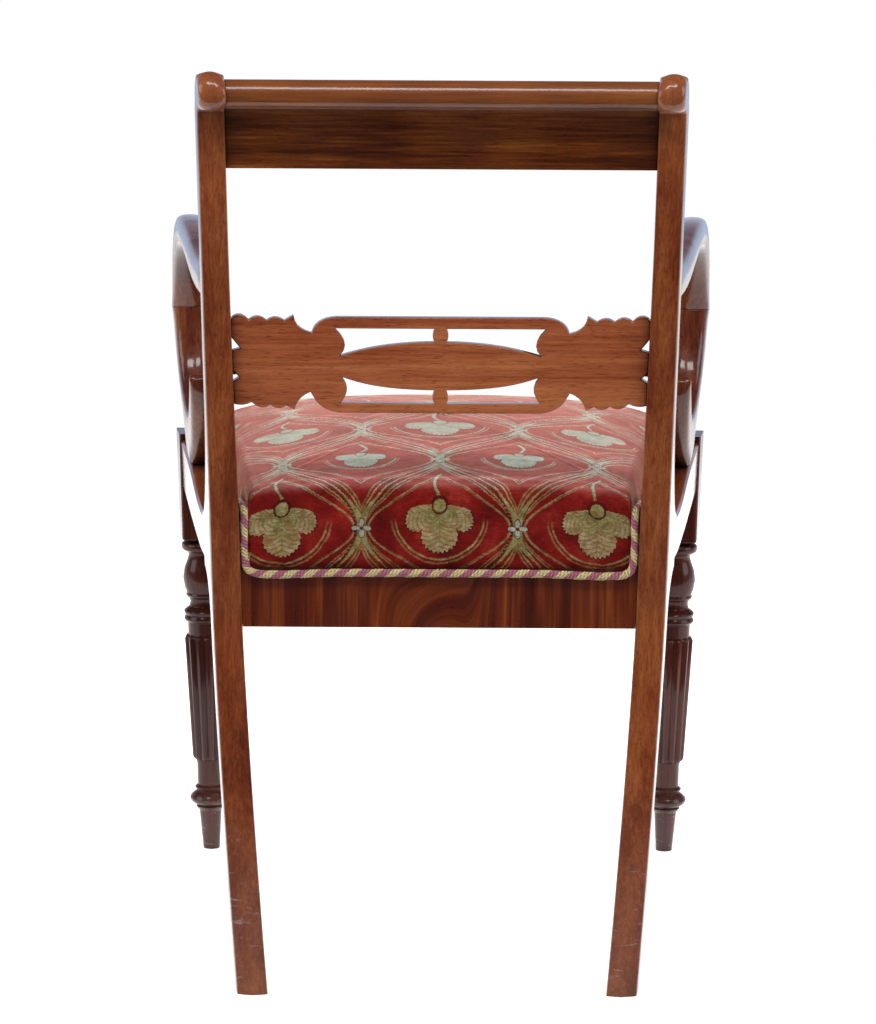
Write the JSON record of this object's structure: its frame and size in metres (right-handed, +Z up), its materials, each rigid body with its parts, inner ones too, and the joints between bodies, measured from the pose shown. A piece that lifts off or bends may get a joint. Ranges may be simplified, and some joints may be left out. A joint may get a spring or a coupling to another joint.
{
  "type": "elbow chair",
  "caption": "Wooden elbow chair with pierced splat back, scroll arms, reeded front legs, sabre back legs and over-stuffed seat.",
  "frame": {"origin": "on the floor, under the middle of the chair's bounding box", "axes": "+Z up, -Y the way the sitter faces, +X the sitter's left"},
  "size_m": [0.556, 0.563, 0.8512],
  "materials": {
    "mahogany": "french polished",
    "turned_mahogany": "polished, dusty",
    "rail_veneer": "french polished",
    "beech": "bare",
    "velvet": "pile",
    "horsehair": "felted",
    "jute": "woven",
    "silk_cord": "twisted"
  },
  "bodies": {
    "root": {"left_stile": "mahogany", "right_stile": "mahogany", "crest_rail": "mahogany", "splat": "mahogany", "back_rail": "rail_veneer", "front_rail": "beech", "left_side_rail": "mahogany", "right_side_rail": "mahogany", "left_front_leg": "turned_mahogany", "right_front_leg": "turned_mahogany", "left_arm": "mahogany", "right_arm": "mahogany", "left_arm_support": "mahogany", "right_arm_support": "mahogany", "left_arm_dowel": "beech", "right_arm_dowel": "beech", "left_support_dowel": "beech", "right_support_dowel": "beech", "back_left_corner_block": "beech", "back_right_corner_block": "beech", "front_left_corner_block": "beech", "front_right_corner_block": "beech", "lengthwise_strap_1": "jute", "lengthwise_strap_2": "jute", "lengthwise_strap_3": "jute", "lengthwise_strap_4": "jute", "crosswise_strap_1": "jute", "crosswise_strap_2": "jute", "crosswise_strap_3": "jute", "hessian": "jute", "seat_stuffing": "horsehair", "seat_cover": "velvet", "seat_cord": "silk_cord"}
  },
  "joints": []
}
